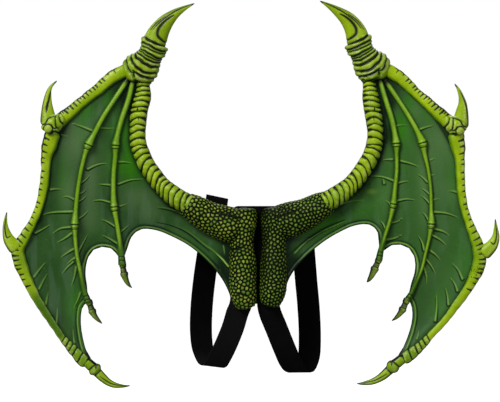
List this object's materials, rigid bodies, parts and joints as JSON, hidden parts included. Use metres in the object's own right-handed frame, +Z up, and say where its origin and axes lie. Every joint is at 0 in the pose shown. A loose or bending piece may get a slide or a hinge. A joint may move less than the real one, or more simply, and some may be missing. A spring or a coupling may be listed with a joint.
{
  "type": "costume dragon wings",
  "caption": "Moulded latex costume dragon wings with ringed arms, clawed bones, ribbed webs and scaled bases, joined by a back panel with elastic shoulder loops.",
  "frame": {"origin": "middle of the back panel's rear face, where the wings sit on the wearer's back", "axes": "+X across the wings towards the wearer's right wing, +Y towards the wearer, +Z up"},
  "size_m": [0.9929, 0.1844, 0.7744],
  "materials": {
    "bone_latex": "painted latex, semi-gloss",
    "claw_latex": "painted latex, semi-gloss",
    "finger_latex": "painted latex, semi-gloss",
    "web_latex": "painted latex, satin",
    "scale_latex": "painted latex, satin",
    "elastic": "woven elastic, matt",
    "panel_cloth": "padded cloth, matt"
  },
  "bodies": {
    "root": {"wrist_cuff_left": "bone_latex", "thumb_claw_left": "claw_latex", "arm_left": "bone_latex", "lead_bone_upper_left": "bone_latex", "elbow_knuckle_left": "bone_latex", "spur_claw_upper_left": "claw_latex", "lead_bone_lower_left": "bone_latex", "spur_claw_lower_left": "claw_latex", "tip_knuckle_left": "bone_latex", "lead_tip_claw_left": "claw_latex", "finger_2_bone_left": "finger_latex", "finger_3_bone_left": "finger_latex", "finger_2_claw_left": "claw_latex", "finger_3_claw_left": "claw_latex", "membrane_left": "web_latex", "scaled_base_left": "scale_latex", "strap_left": "elastic", "wrist_cuff_right": "bone_latex", "thumb_claw_right": "claw_latex", "arm_right": "bone_latex", "lead_bone_upper_right": "bone_latex", "elbow_knuckle_right": "bone_latex", "spur_claw_upper_right": "claw_latex", "lead_bone_lower_right": "bone_latex", "spur_claw_lower_right": "claw_latex", "tip_knuckle_right": "bone_latex", "lead_tip_claw_right": "claw_latex", "finger_2_bone_right": "finger_latex", "finger_3_bone_right": "finger_latex", "finger_2_claw_right": "claw_latex", "finger_3_claw_right": "claw_latex", "membrane_right": "web_latex", "scaled_base_right": "scale_latex", "strap_right": "elastic", "back_panel": "panel_cloth"}
  },
  "joints": []
}
